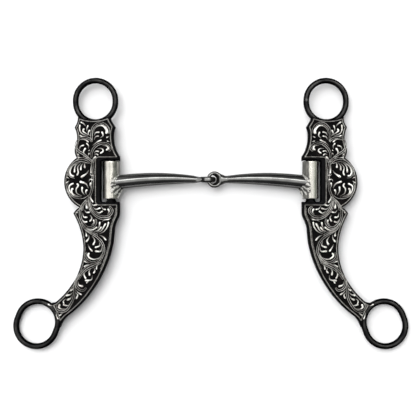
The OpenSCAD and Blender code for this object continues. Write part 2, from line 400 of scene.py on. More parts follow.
# ---------------------------------------------------------------- engraved scrolls
# In millimetres, in the cheek's frame.
# Stems are grey lines of even width, given by points that they pass through.
STEMS = [
    # two scrolls of the upper panel's mouth side
    [(-12.9, 25.8), (-13.1, 31), (-12.3, 34.9), (-9.6, 37.8), (-6.2, 38.6), (-3.2, 37.2),
     (-1.3, 34.6), (-0.8, 31.4)],
    [(-13.3, 14.5), (-13, 18), (-11.2, 21.4), (-8, 23.9), (-4.2, 24.7), (-1.1, 23.5),
     (0.3, 21.3), (-0.9, 19)],
    # scroll of its outer side
    [(-13.4, 12.8), (-18.5, 16.8), (-22.4, 19.4), (-24, 22.6), (-23, 26), (-20.4, 28.1), (-16.6, 28.4),
     (-13.6, 27), (-12.8, 25.5)],
    [(-12.9, 12), (-15.6, 14.2), (-19, 15.3)],
    [(-9.9, 15.4), (-11.7, 13.4), (-12.3, 11)],
    # rims of the round lobe's two fans, drawn as single lines
    [(-13.2, 10), (-16.4, 12.6), (-20.6, 13.4), (-25, 12.1), (-28.5, 8.8), (-29.9, 4.8), (-29.4, 2)],
    [(-14.6, 10.6), (-20.4, 12), (-24.6, 10.7), (-27.6, 7.6), (-28.9, 3.8), (-27.6, 1.3), (-24.8, 0.6)],
    [(-15.2, -11), (-17.6, -13), (-21.2, -13.8), (-25.6, -12.7), (-29, -9.4), (-30.1, -5.8),
     (-29.4, -3)],
    # spine between the window and the lobe
    [(-12.9, 12.4), (-12.2, 9), (-11.9, 5), (-12.2, 0), (-12.4, -6), (-13.4, -10), (-15.3, -13.6)],
    # scroll below the window
    [(-14.4, -12), (-14.3, -17.4), (-12.6, -21.4), (-9.6, -24.6), (-5, -26.3), (-0.8, -25.4), (1.4, -22.6),
     (0.8, -20.2), (-1, -19.2)],
    [(-15.2, -15), (-14.7, -19.4), (-12.2, -23.4), (-8.4, -26.4), (-4, -27.6), (0.4, -26.8)],
    # outer scroll at the head of the shank
    [(-15.6, -13.6), (-18.6, -16.8), (-20.8, -20.6), (-21, -25), (-19.6, -29.8), (-16, -33.4), (-12.2, -33),
     (-10.1, -30.4), (-10.3, -27.6)],
    [(-16.6, -15), (-19.2, -18.4), (-19.8, -22)],
    # three scrolls down the shank
    [(-20, -30.4), (-17.6, -34.6), (-13.4, -37.5), (-9.4, -40), (-6.2, -43.2), (-4.6, -47), (-4.7, -51.4),
     (-7.1, -55.4), (-11, -57.8), (-14.8, -57), (-17.1, -54.8), (-17.3, -52.6), (-16.2, -51)],
    [(-18.2, -34.2), (-14, -36.4), (-8.6, -39)],
    [(-5, -53), (-7.6, -57.2), (-12, -59), (-16, -61), (-19.4, -64), (-22.3, -67.6), (-24, -71),
     (-23.6, -74.2), (-21.4, -76.6), (-18.6, -77), (-16.8, -75.2)],
    [(-6.4, -57.6), (-12, -60.4), (-16.6, -62.8), (-20, -66.2), (-22.2, -69.4)],
    [(-24.3, -71), (-25, -75), (-25, -79), (-25.8, -83), (-27.8, -87), (-30.6, -90.7), (-34, -91.9),
     (-37, -90.7), (-38.2, -88), (-37, -86.3)],
]
# Leaves swell from a thin grey tail to a bright round head: the points from tail to head, then the
# head's width.
LEAVES = [
    # inside the upper mouth-side scroll
    ([(-11.6, 31.6), (-11, 34.3), (-8.8, 36.3), (-6, 36.9), (-3.8, 35.4), (-2.4, 33), (-2.9, 30.9)], 1.75),
    ([(-11.2, 29.8), (-10.2, 31.8), (-7.6, 32.3)], 1.15),
    ([(-11.3, 27), (-10.2, 29), (-7.8, 29.6)], 1.0),
    ([(-7, 28), (-5.2, 29.8), (-5.9, 32.7)], 1.25),
    ([(-12.2, 22.8), (-9.5, 25.3), (-5.9, 26.9)], 1.05),
    ([(-0.4, 25.4), (-2.4, 26.3)], 0.8),
    ([(-0.9, 29.4), (-2.9, 28.4)], 0.9),
    # inside the outer scroll
    ([(-20.6, 27), (-17.5, 27.2), (-15, 25.3)], 1.05),
    ([(-15.3, 20.8), (-15.3, 23), (-16.8, 24.9)], 0.95),
    ([(-21.4, 20), (-20.7, 22.3), (-18.2, 23.3)], 1.15),
    ([(-17, 15.8), (-18.6, 18.5), (-17.2, 21.4)], 1.4),
    ([(-15.4, 19.2), (-14.4, 19.9)], 1.0),
    ([(-15.3, 16.2), (-14.7, 17.9)], 1.1),
    ([(-21.6, 16), (-22.9, 17.4)], 0.9),
    ([(-19, 14.4), (-22.8, 15)], 0.85),
    # inside the lower mouth-side scroll
    ([(-5.4, 23.3), (-2.5, 22.7), (-1.5, 20.9), (-2.9, 19.7)], 1.45),
    ([(-8.8, 21), (-6, 20.8), (-5, 19.1), (-7, 17.5)], 1.25),
    ([(-11.3, 17.8), (-10, 19.2), (-7.7, 18.9)], 1.05),
    ([(-11, 16.7), (-9.5, 17.2), (-8.2, 16.2)], 0.9),
    ([(-12.2, 12.6), (-11.3, 14.4), (-9.9, 15.5)], 1.0),
    # spray at the outer top
    ([(-13.6, 29.8), (-17.4, 31.8), (-19, 33.3), (-18, 34.8)], 1.15),
    ([(-15.5, 29.6), (-19.8, 31.4), (-21.4, 34), (-21.2, 37.6)], 1.1),
    ([(-17.2, 36.4), (-18.5, 38), (-20.9, 39.5)], 1.0),
    ([(-16.2, 32.8), (-16.2, 35), (-15.4, 37.1)], 1.1),
    ([(-14.5, 29.9), (-15.3, 31.6), (-14.2, 34)], 1.15),
    ([(-17, 29.6), (-19.5, 29.4), (-21.4, 30.1)], 0.9),
    # upper fan of the lobe
    ([(-21, 11.6), (-26.2, 9), (-28, 5), (-27.2, 2.5), (-25.2, 2)], 1.2),
    ([(-22.2, 11), (-24.6, 8.4), (-25.1, 4.4)], 1.15),
    ([(-20.3, 10.8), (-22.7, 8), (-22.3, 4.6), (-23.2, 2.3)], 1.2),
    ([(-18.8, 11), (-20.3, 8.8), (-20.5, 5.8)], 1.25),
    ([(-17.2, 11.6), (-17.9, 9.8), (-17.6, 7.4)], 1.35),
    ([(-15, 6), (-16.6, 3.6), (-20.6, 1)], 1.75),
    ([(-28.6, 0.2), (-30.6, 1.3)], 0.95),
    # lower fan of the lobe
    ([(-20, -12.6), (-25, -12), (-28.3, -8.6), (-28.6, -5), (-25.6, -3)], 1.2),
    ([(-22, -12), (-26, -10.4), (-27, -8), (-25.8, -6.3)], 1.4),
    ([(-20, -11.8), (-23.2, -10), (-23.8, -7), (-22.4, -4.8), (-23.3, -3)], 1.15),
    ([(-18, -11.2), (-19.7, -8.5), (-19.6, -5.2)], 1.3),
    ([(-16.6, -11), (-17, -9), (-16.1, -7.2)], 1.5),
    ([(-15.2, -6.4), (-17, -3.4), (-21.4, -1.8)], 1.7),
    ([(-28.6, -1.2), (-30.9, -2.9)], 1.05),
    # strip beside the window
    ([(-13.2, 9.8), (-13.5, 7), (-13.3, 3.6)], 0.95),
    ([(-14.1, 3.6), (-13.2, 2.5), (-11.7, 2.5)], 1.0),
    ([(-15, -1.8), (-14, -0.3), (-12, -0.8)], 1.0),
    ([(-13.3, -6.4), (-13.9, -4.4), (-13.6, -2.3)], 1.25),
    ([(-13.2, -10.4), (-13.6, -13), (-11.9, -16.5)], 1.05),
    # inside the scroll below the window
    ([(-13.6, -16.6), (-11.8, -18.3), (-9, -17.9)], 1.1),
    ([(-12.3, -19.4), (-10, -21), (-6.7, -20.1)], 1.2),
    ([(-10.6, -22), (-7.8, -23.6), (-5.1, -22)], 1.15),
    ([(-6.6, -18.6), (-5, -20.6), (-2.9, -21.2)], 1.05),
    ([(-2, -24.6), (-0.8, -22.6), (-1.7, -20.5)], 1.5),
    # inside the outer scroll at the head of the shank
    ([(-16.5, -15.6), (-16.8, -18), (-16.3, -20.7)], 1.6),
    ([(-18, -21.4), (-16.6, -23.2), (-14.1, -22.9)], 1.1),
    ([(-19.4, -23.4), (-18.5, -26.3), (-15.9, -26.5)], 1.35),
    ([(-19.9, -27.8), (-18, -29.9), (-15.8, -29.4)], 1.35),
    ([(-14, -25), (-12.9, -27), (-14.3, -29.5)], 1.2),
    ([(-13, -32), (-11.4, -30.3), (-11.7, -28)], 1.1),
    ([(-22.9, -21.8), (-23.4, -23.8)], 1.2),
    # fan on the mouth side of the shank
    ([(-18, -33.6), (-13, -35.3), (-9.1, -33.2)], 1.1),
    ([(-8.8, -35), (-7.7, -32.4), (-7.3, -29.6)], 1.25),
    ([(-11.5, -36.2), (-8.5, -35.8), (-6, -33)], 1.15),
    ([(-9.5, -37.1), (-6.3, -35.8), (-4.5, -33), (-3.2, -30.6)], 1.25),
    ([(-8, -38), (-4.2, -36.2), (-1.9, -33), (-1.2, -29.6)], 1.05),
    ([(-5.8, -29.4), (-3.5, -28.4), (-0.4, -27.8)], 1.0),
    ([(-7.6, -38.8), (-5, -40.2), (-2.9, -42.5)], 1.15),
    # first scroll of the shank
    ([(-6, -51.6), (-7.5, -54.4), (-11.3, -55.7), (-14.3, -54.6), (-15.4, -52.8), (-14.6, -51)], 1.35),
    ([(-5.8, -46), (-6.7, -49.9), (-10.8, -49.9)], 1.45),
    ([(-7.8, -42.8), (-7.4, -46), (-10.7, -47.5)], 1.25),
    ([(-12.8, -39.4), (-10.9, -42.6), (-12.1, -45.7)], 1.35),
    ([(-15.6, -45.2), (-14.4, -47.6), (-12.4, -50.3)], 1.2),
    ([(-16.9, -36.4), (-16.7, -38.2), (-16.5, -39.9)], 1.4),
    ([(-14.9, -38.6), (-15, -41), (-16.9, -43.7)], 1.35),
    ([(-14.8, -58.2), (-16.5, -57.7), (-18.4, -56.6)], 1.0),
    ([(-13.5, -59.4), (-16, -59.6), (-18.6, -60.9)], 0.95),
    # second scroll of the shank
    ([(-22.6, -70.8), (-22, -73.4), (-18.9, -74.4)], 1.65),
    ([(-12.6, -66.6), (-13.2, -69.6), (-17.8, -70.4)], 1.45),
    ([(-14.5, -69.6), (-15.5, -70.9), (-16.7, -72.3)], 1.15),
    ([(-16.8, -62.6), (-18.2, -66), (-17, -69.2)], 1.15),
    ([(-13.3, -61.6), (-14.7, -64), (-14.2, -66.9)], 1.25),
    ([(-11.3, -61.4), (-10.6, -63.5), (-11.8, -65.3)], 1.35),
    ([(-8.2, -58.8), (-9.3, -60.6), (-9.5, -62.7)], 1.05),
    # third scroll of the shank, down to the rein ring
    ([(-25.2, -74.4), (-26, -76.2), (-28, -77.5)], 1.15),
    ([(-26, -78.4), (-28, -80), (-31, -80.8)], 1.35),
    ([(-26.7, -80.8), (-28, -82.8), (-30.3, -84)], 1.5),
    ([(-31, -83), (-32.6, -84.6), (-32.2, -86.7)], 1.0),
    ([(-28, -86.2), (-29.5, -87.6), (-33.1, -86.9)], 1.15),
    ([(-30.3, -89.6), (-33.2, -90.3), (-35.8, -89), (-35.1, -86.7)], 1.45),
    ([(-24.4, -78.4), (-22.8, -80.4), (-23.7, -82.9)], 1.25),
    ([(-24, -76.8), (-22.4, -78.6), (-19.9, -80.2)], 1.0),
    ([(-33.2, -92.6), (-34.2, -93.6), (-35.7, -94.7)], 1.15),
    ([(-39.9, -87.9), (-41.5, -87.7), (-43.6, -86.7)], 0.95),
    ([(-37.7, -92), (-37.3, -95), (-36.3, -97.2)], 0.85),
]
# The stems that are a single line, by where they start.
SINGLE = ((-13.2, 10), (-14.6, 10.6), (-15.2, -11))
STEM_W = 0.42
STEM_GAP = 1.16
STEM_TONE = 0.62
TAIL_W = 0.44
HEAD_SWELL = 1.16
RELIEF = 0.38
SINK = 0.12
HAND_SHAKE = 0.12

# A stroke's rounded section, as (share of its half width, share of its height).
SECTION = [
    (-1, -1), (-0.97, 0.25), (-0.78, 0.68), (-0.42, 0.93), (0, 1),
    (0.42, 0.93), (0.78, 0.68), (0.97, 0.25), (1, -1),
]


def smooth_path(points, per_mm=3.2, least=9):
    """Evenly spaced points on a smooth curve through the given ones."""
    p = np.array(points, float)
    if len(p) == 2:
        p = np.array([p[0], (p[0] + p[1]) / 2, p[1]])
    padded = np.vstack([2 * p[0] - p[1], p, 2 * p[-1] - p[-2]])
    fine = []
    for i in range(1, len(padded) - 2):
        a, b, c, d = padded[i - 1:i + 3]
        for t in np.linspace(0, 1, 16, endpoint=False):
            fine.append(0.5 * (2 * b + (c - a) * t + (2 * a - 5 * b + 4 * c - d) * t**2
                               + (3 * b - a - 3 * c + d) * t**3))
    fine.append(p[-1])
    fine = np.array(fine)
    lengths = np.concatenate([[0], np.cumsum(np.hypot(*np.diff(fine, axis=0).T))])
    count = max(least, int(lengths[-1] * per_mm))
    at = np.linspace(0, lengths[-1], count)
    return np.stack([np.interp(at, lengths, fine[:, i]) for i in (0, 1)], 1), at


class Relief:
    """Gathers raised strokes into one mesh, with a tone at each point."""

    def __init__(self):
        self.points, self.faces, self.tones = [], [], []

    def ribbon(self, path, half_widths, heights, tones, closed=False):
        """A rounded ribbon along a path, as a closed solid that is sunk a little into the face."""
        ahead = np.roll(path, -1, axis=0) - np.roll(path, 1, axis=0)
        if not closed:
            ahead[0] = path[1] - path[0]
            ahead[-1] = path[-1] - path[-2]
        ahead /= np.linalg.norm(ahead, axis=1)[:, None]
        side = np.stack([ahead[:, 1], -ahead[:, 0]], 1)
        start = len(self.points)
        ring = len(SECTION)
        for point, way, half, height, tone in zip(path, side, half_widths, heights, tones):
            for across, lift in SECTION:
                spot = point + way * across * half
                z = FACE_Z + (height * lift if lift > 0 else -SINK)
                self.points.append((spot[0], spot[1], z))
                self.tones.append(tone)
        count = len(path)
        for i in range(count if closed else count - 1):
            a = start + i * ring
            b = start + ((i + 1) % count) * ring
            for j in range(ring):
                k = (j + 1) % ring
                self.faces.append((a + j, b + j, b + k, a + k))
        if not closed:
            self.faces.append(tuple(start + j for j in range(ring)))
            self.faces.append(tuple(start + (count - 1) * ring + j for j in reversed(range(ring))))

    def dome(self, centre, radius, height, tone):
        """A small rounded bead, as a closed solid that is sunk a little into the face."""
        sides = 10
        start = len(self.points)
        levels = ((1.0, -SINK), (0.95, height * 0.35), (0.7, height * 0.75), (0.35, height * 0.96))
        for share, z in levels:
            for j in range(sides):
                a = 2 * math.pi * j / sides
                self.points.append((centre[0] + radius * share * math.cos(a),
                                    centre[1] + radius * share * math.sin(a), FACE_Z + z))
                self.tones.append(tone)
        self.points.append((centre[0], centre[1], FACE_Z + height))
        self.tones.append(tone)
        for level in range(len(levels) - 1):
            for j in range(sides):
                k = (j + 1) % sides
                a, b = start + level * sides, start + (level + 1) * sides
                self.faces.append((a + j, a + k, b + k, b + j))
        top = start + (len(levels) - 1) * sides
        for j in range(sides):
            self.faces.append((top + j, top + (j + 1) % sides, start + len(levels) * sides))
        self.faces.append(tuple(start + j for j in reversed(range(sides))))


def shaken(points, hand):
    """The points, each moved a little at random as an engraver's hand wanders."""
    return [(x + hand.uniform(-1, 1) * HAND_SHAKE, y + hand.uniform(-1, 1) * HAND_SHAKE) for x, y in points]


def add_stem(relief, points, hand):
    """A stem of two fine lines side by side, or of one where it starts at a place in SINGLE."""
    path, at = smooth_path(shaken(points, hand))
    share = at / at[-1]
    taper = np.clip(np.minimum(share / 0.12, (1 - share) / 0.08), 0, 1)
    wave = 0.12 * np.sin(share * 9 + hand.uniform(0, 6))
    way = np.gradient(path, axis=0)
    way /= np.linalg.norm(way, axis=1)[:, None]
    across = np.stack([-way[:, 1], way[:, 0]], 1)
    gaps = (0,) if points[0] in SINGLE else (-0.5, 0.5)
    for gap in gaps:
        spread = STEM_GAP * gap * (0.45 + 0.55 * np.sqrt(taper))
        width = STEM_W * (0.75 + 0.25 * taper)
        tones = STEM_TONE + wave - 0.06 * gap
        relief.ribbon(path + across * spread[:, None], width / 2, RELIEF * (0.5 + 0.3 * taper), tones)


def add_leaf(relief, points, head_w, hand):
    """A leaf that swells and rises from its tail, and rounds off at its head."""
    path, at = smooth_path(shaken(points, hand))
    head_w *= HEAD_SWELL
    length = at[-1]
    swell = np.clip(at / length, 0, 1) ** 1.5
    width = TAIL_W + (head_w - TAIL_W) * swell
    from_end = np.clip((length - at) / (head_w * 0.62), 0, 1)
    width *= np.sqrt(np.maximum(0.03, 1 - (1 - from_end) ** 2))
    tones = 0.4 + 0.6 * np.clip(at / length * 1.5 - 0.12, 0, 1)
    heights = RELIEF * (0.55 + 0.45 * swell) * np.sqrt(np.maximum(0.08, 1 - (1 - from_end) ** 2 * 0.8))
    relief.ribbon(path, width / 2, heights, tones)


def overlay_rim(side):
    """The rim of the engraved sheet's upper face, as an anticlockwise loop in mm in the cheek's frame."""
    origin, across, up, out = cheek_frame(side)
    mesh = nodes[side + "_engraved_overlay"].data
    local = [(v.co - origin) / MM for v in mesh.vertices]
    local = [(p.dot(across), p.dot(up), p.dot(out)) for p in local]
    top = max(p[2] for p in local)
    keys, places = {}, []
    index = []
    for x, y, z in local:
        key = (round(x, 2), round(y, 2), z > top - OVERLAY_T / 4)
        if key not in keys:
            keys[key] = len(places)
            places.append((x, y))
        index.append((keys[key], key[2]))
    used = set()
    for polygon in mesh.polygons:
        corners = [index[v] for v in polygon.vertices]
        if all(high for _, high in corners):
            ring = [i for i, _ in corners]
            for a, b in zip(ring, ring[1:] + ring[:1]):
                used.add((a, b))
    onward = {a: b for a, b in used if (b, a) not in used}
    start = min(onward)
    loop = [start]
    while onward[loop[-1]] != start:
        loop.append(onward[loop[-1]])
    rim = np.array([places[i] for i in loop])
    x, y = rim.T
    area = (x * np.roll(y, -1) - np.roll(x, -1) * y).sum()
    return rim if area > 0 else rim[::-1]


RAIL_INSET = 0.42
RAIL_W = 0.6
BEAD_R = 0.42
BEAD_STEP = 1.0
BEAD_INSET = 1.15
RAIL_TONE = 0.52
BEAD_TONE = 0.5
# Beads run down the mouth side of the shank only: between these heights, and from this far in.
BEADS_BELOW = -20
BEADS_ABOVE = -66
BEADS_FROM = -8
HAND_SEED = {"left": 11, "right": 23}


def shank_middle(y):
    """Roughly the shank's middle at a height: beads stay on the mouth side of it."""
    return -13 - 0.35 * min(0, y + 45)


def engraving(side):
    """The scrolls, border line and beads of one cheek, as one mesh of raised strokes."""
    hand = random.Random(HAND_SEED[side])
    relief = Relief()
    rim = resample(overlay_rim(side), 0.25)
    rail = resample(inset(rim, RAIL_INSET, 0.02), 0.35)
    count = len(rail)
    rail_tones = np.array([RAIL_TONE + 0.10 * noise((x * 0.3, y * 0.3, 1.0)) for x, y in rail])
    relief.ribbon(rail, np.full(count, RAIL_W / 2), np.full(count, RELIEF * 0.8), rail_tones, closed=True)
    for stem in STEMS:
        add_stem(relief, stem, hand)
    for points, head_w in LEAVES:
        add_leaf(relief, points, head_w, hand)
    beads = resample(inset(rim, BEAD_INSET, 0.02), BEAD_STEP)
    for x, y in beads:
        if BEADS_ABOVE < y < BEADS_BELOW and x > max(BEADS_FROM, shank_middle(y)):
            relief.dome((x, y), BEAD_R, RELIEF * 0.6, BEAD_TONE)
    return make_mesh(side + "_scrollwork", relief.points, relief.faces, cheek_frame(side),
                     tones=relief.tones)


# ---------------------------------------------------------------- mouthpiece arms
SLEEVE_R = 5.65
POST_X = 69.15
EYE_X = 2.6
EYE_BEND = 4.15
EYE_BAR = 2.3
EYE_WIDTH = 3.7
EYE_Y = -0.35
# How far each arm runs into its eye, and where it begins to spread and how far.
EYE_OVERLAP = 0.12
FLARE_L = 6.5
FLARE_HALF = 4.15
# Radius of the seat that is cut in the arm's foot for its sleeve.
SEAT_R = 4.7
NECK_L = 3.4
CANNON_D = 9.8
NECK_D = 4.9
ARM_SPAN = POST_X - EYE_X - EYE_BEND - NECK_L


def arm_y(u):
    """Height of an arm's middle line, at a share of its span from the post."""
    return 0.2 - 6.3 * (u - 0.7) ** 2


def arm_r(u):
    """Radius of an arm, at a share of its span from the post."""
    return (NECK_D + (CANNON_D - NECK_D) * (1 - min(u, 1) ** 2.2)) / 2


def arm_painted_shade(points, normals):
    """Painted reflection and shade: arms are painted brightest along the top and dark down their flanks, most of
    all on the upper one.
    """
    upper = rise(normals[:, 1], 0.45, 0.8)
    lower = rise(-normals[:, 1], 0.55, 0.85)
    return 1 - 0.92 * upper - 0.7 * lower


def cannon(side):
    """A tapered arm, coped into its sleeve at one end and spread into its eye at the other."""
    sides, steps = 64, 90
    flat_eye = side == "right"
    end_x = POST_X - EYE_X - EYE_BEND + EYE_BAR / 2 - EYE_OVERLAP
    flare_from = end_x - FLARE_L
    points, faces = [], []
    for i in range(steps + 1):
        s = i / steps
        for j in range(sides):
            a = 2 * math.pi * j / sides
            c, d = math.cos(a), math.sin(a)
            level = CANNON_D / 2 * d
            start = math.sqrt(max(SEAT_R**2 - level**2, 0.4))
            x = start + (end_x - start) * s
            u = x / ARM_SPAN
            r = arm_r(u)
            spread = max(0.0, (x - flare_from) / (end_x - flare_from))
            spread = spread * spread * (3 - 2 * spread)
            wide = r + (FLARE_HALF - r) * spread**1.6
            thin = r + (EYE_WIDTH / 2 - 0.15 - r) * spread
            height_y, height_z = (wide, thin) if flat_eye else (thin, wide)
            middle = arm_y(min(u, 1.05)) * (1 - spread) + EYE_Y * spread
            points.append((x, middle + height_y * c, height_z * d))
    for i in range(steps):
        for j in range(sides):
            k = (j + 1) % sides
            a, b = i * sides, (i + 1) * sides
            faces.append((a + j, b + j, b + k, a + k))
    faces.append(tuple(range(sides)))
    faces.append(tuple(steps * sides + j for j in reversed(range(sides))))
    return make_mesh(side + "_arm", points, faces, mouth_frame(side), tones=arm_painted_shade)


WELD_RIDGES = 17
WELD_LUMPS = 9
WELD_REACH = 5.62
# Two patches where the weld spreads over the sleeve: their angles round the arm, and their width,
# in degrees.
WELD_PATCHES = (128, 232)
WELD_PATCH_W = 30


def sleeve_weld(side):
    """The weld round the arm's foot: smooth on the headstall side, heavy and ridged on the shank side."""
    around, across = 204, 16
    bar_r = arm_r(0.08)
    bar_y = arm_y(0.05)
    offset = 3.0 if side == "left" else 11.0
    points, faces, tones = [], [], []
    for i in range(around):
        t = 2 * math.pi * i / around
        fullness = ((1 - math.cos(t)) / 2) ** 2
        lump = 1 + 0.12 * math.sin(WELD_LUMPS * t)
        bar_leg = (1.35 + 1.3 * fullness) * lump
        patch = sum(math.exp(-((math.degrees(t) - at) / WELD_PATCH_W) ** 2) for at in WELD_PATCHES)
        sleeve_leg = (1.35 + 4.6 * fullness + 1.9 * patch) * lump
        y, z = bar_r * math.cos(t), bar_r * math.sin(t)
        seam = math.asin(max(-1.0, min(1.0, z / SLEEVE_R)))
        wrap = seam + sleeve_leg * math.sin(t) / SLEEVE_R
        corner_x = SLEEVE_R * math.cos(seam)
        under = 1 - 0.25 / bar_r
        foot = np.array([(SLEEVE_R - 0.2) * math.cos(wrap), bar_y + y + sleeve_leg * math.cos(t),
                         (SLEEVE_R - 0.2) * math.sin(wrap)])
        toe = np.array([corner_x + bar_leg, bar_y + y * under, z * under])
        corner = np.array([corner_x - 0.1, bar_y + y, z])
        for k in range(across):
            v = k / (across - 1)
            pull = 0.42 + 0.1 * math.cos(WELD_LUMPS * t)
            middle = (foot + toe) / 2 * (1 - pull) + corner * pull
            spot = foot * (1 - v) ** 2 + middle * 2 * v * (1 - v) + toe * v**2
            away = spot - corner
            away /= max(np.linalg.norm(away), 1e-6)
            grain = noise(Vector(spot) * 0.55 + Vector((offset, 0, 0)))
            ridge = math.cos(WELD_RIDGES * t + 2.6 * grain + 1.2 * v)
            lift = math.sin(math.pi * v) * (0.32 * fullness * ridge + 0.3 * (0.15 + fullness) * grain)
            spot = spot + away * lift
            thick = 0.34 + 0.14 * ridge * min(1.0, 2 * fullness)
            cover = SLEEVE_R - 0.2 + thick * math.sin(math.pi * v) ** 0.6
            near = math.hypot(spot[0], spot[2])
            if near < cover:
                spot = spot * np.array([cover / near, 1, cover / near])
            spot[2] = np.clip(spot[2], -WELD_REACH, WELD_REACH)
            points.append(tuple(spot))
            # Painted highlight and shade: on the shank side the ridges are painted bright and the hollows between
            # them dark; on the headstall side the tone is an even 0.7.
            rough = 0.01 + 0.99 * float(rise(ridge + 0.7 * grain, -0.1, 0.7))
            share = min(1.0, fullness * 2.2)
            tones.append(0.7 * (1 - share) + rough * share)
        # The closing point at the weld's inner corner is painted darker, as painted shade.
        points.append(tuple((foot + toe) / 2 * 0.15 + (corner - np.array([0.5, 0, 0])) * 0.85))
        tones.append(0.3)
    ring = across + 1
    for i in range(around):
        a, b = i * ring, ((i + 1) % around) * ring
        for k in range(ring):
            m = (k + 1) % ring
            faces.append((a + k, a + m, b + m, b + k))
    base = np.array(tones)
    # Painted shade: the weld is also painted darker on its upper flank, where it faces up the cheek.
    return make_mesh(side + "_weld", points, faces, mouth_frame(side),
                     tones=lambda at, normals: base * (1 - 0.85 * rise(normals[:, 1], 0.4, 0.75)))


SLEEVE_TOP = 12.2
SLEEVE_BOTTOM = -13.7
SLEEVE_CORNER = 0.4
BORE_R = 3.075
# Painted reflection along the sleeve's top: where its bright band is centred and its half width, both by the
# normal's lean, then how much painted shade its mouth side and its outer side take.
SLEEVE_PAINTED_REFLECTION = {"left": (-0.10, 0.33, 0.62, 0.6), "right": (-0.06, 0.31, 0.86, 0.4)}


def sleeve(side):
    """The turning sleeve: a lathe form with eased ends, dressed by hand so that it isn't quite true."""
    sides, rows = 96, 40
    ends = [(0.0, SLEEVE_CORNER), (0.12, 0.16), (0.28, 0.04), (SLEEVE_CORNER, 0.0)]
    profile = [(BORE_R, SLEEVE_BOTTOM)]
    profile += [(SLEEVE_R - drop, SLEEVE_BOTTOM + along) for along, drop in ends]
    span = SLEEVE_TOP - SLEEVE_BOTTOM - 2 * SLEEVE_CORNER
    profile += [(SLEEVE_R, SLEEVE_BOTTOM + SLEEVE_CORNER + span * i / rows) for i in range(1, rows)]
    profile += [(SLEEVE_R - drop, SLEEVE_TOP - along) for along, drop in reversed(ends)]
    profile.append((BORE_R, SLEEVE_TOP))
    points, faces = [], []
    offset = 5.0 if side == "left" else 17.0
    for r, y in profile:
        for j in range(sides):
            a = 2 * math.pi * j / sides
            x, z = math.sin(a), math.cos(a)
            dent = 0.0
            if r > BORE_R:
                facing = max(0.0, x)
                dent = (0.05 + 0.22 * facing**2) * max(0.0, noise((x * 2.2 + offset, y * 0.16, z * 2.2)))
            points.append(((r - dent) * x, y, (r - dent) * z))
    count = len(profile)
    for i in range(count):
        a, b = i * sides, (i + 1) % count * sides
        for j in range(sides):
            k = (j + 1) % sides
            faces.append((a + j, b + j, b + k, a + k))

    def tones(at, normals):
        """Painted reflection: a bright band along the top broken into streaks, the cheek's side painted greyer,
        the mouth's side painted a dull grey with a painted shadow near the arm, and the bore's inside painted
        dark.
        """
        middle, half, dull, outer = SLEEVE_PAINTED_REFLECTION[side]
        y = at[:, 1]
        wander = np.array([0.10 * noise((0.0, v * 0.22 + offset, 0.0)) for v in y])
        root = np.exp(-((y - arm_y(0)) / 3.2) ** 2)
        shade = np.exp(-((y + 0.4) / 1.1) ** 2)
        past = normals[:, 0] - middle + wander
        mouthward = rise(past - 0.5 * root + 0.4 * shade, half, half + 0.08)
        streak = np.array([noise((n * 7 + offset, v * 0.05, 0.0)) for n, v in zip(normals[:, 0], y)])
        blotch = np.array([noise((n * 2.4 + offset, v * 0.3, 4.0)) for n, v in zip(normals[:, 0], y)])
        tone = 1 - dull * mouthward * (1 - 0.3 * blotch) - outer * rise(-past, half, half + 0.12)
        # Painted shade: the bore's inside is painted dark.
        inside = np.hypot(at[:, 0], at[:, 2]) < BORE_R + 0.1
        return np.where(inside, 0.1, np.clip(tone * (1 + 0.3 * streak), 0, 1))

    return make_mesh(side + "_bushing", points, faces, mouth_frame(side), tones=tones)


# The left eye's nose and the right eye's lip are dark steel that fills most of the right eye's hole: they stand in
# for the shade inside it.
EYE_NOSE = 0.7
EYE_LIP = 1.7
# The lip's share at an angle round the hole falls to nothing where its cosine reaches this.
LIP_END = 0.4


def eye(side):
    """The arm's eye: an oval loop of round-edged bar. The left one stands on edge, and is stoutest
    at its end. The right one lies flat, with a lip under its hole that is widest next to its own arm
    and is missing towards the other eye."""
    steps, corner = 96, 10
    straight = SLEEVE_R - EYE_BEND - EYE_BAR / 2
    straight_half = (EYE_WIDTH - EYE_BAR) / 2
    section = []
    for end in (1, -1):
        for k in range(corner + 1):
            b = math.pi * k / corner
            out = EYE_BAR / 2 * math.cos(b)
            level = straight_half + EYE_BAR / 2 * math.sin(b)
            section.append((end * out, end * level))
    points, faces = [], []
    for i in range(steps):
        a = 2 * math.pi * (i + 0.5) / steps
        for out, level in section:
            if side == "left" and out > 0:
                out += EYE_NOSE * max(0.0, math.cos(a)) ** 2 * out / EYE_BAR * 2
            if side == "right" and out < 0 and level < 0:
                share = max(0.0, (LIP_END - math.cos(a)) / (1 + LIP_END)) ** 0.5
                out -= EYE_LIP * share * min(1.0, -level / straight_half)
            p = (EYE_BEND + out) * math.cos(a)
            q = (EYE_BEND + out) * math.sin(a) + math.copysign(straight, math.sin(a))
            spot = (p, level, q) if side == "left" else (p, q, level)
            points.append((POST_X - EYE_X + spot[0], EYE_Y + spot[1], spot[2]))
    ring = len(section)
    for i in range(steps):
        a, b = i * ring, (i + 1) % steps * ring
        for k in range(ring):
            m = (k + 1) % ring
            quad = (a + k, b + k, b + m, a + m)
            faces.append(quad if side == "left" else tuple(reversed(quad)))

    def tones(at, normals):
        """Painted highlight on the crown, and painted shade down the sides and round the hole."""
        return 0.02 + 0.9 * rise(np.abs(normals[:, 2]), 0.9, 0.999)

    return make_mesh(side + "_loop", points, faces, mouth_frame(side), tones=tones)


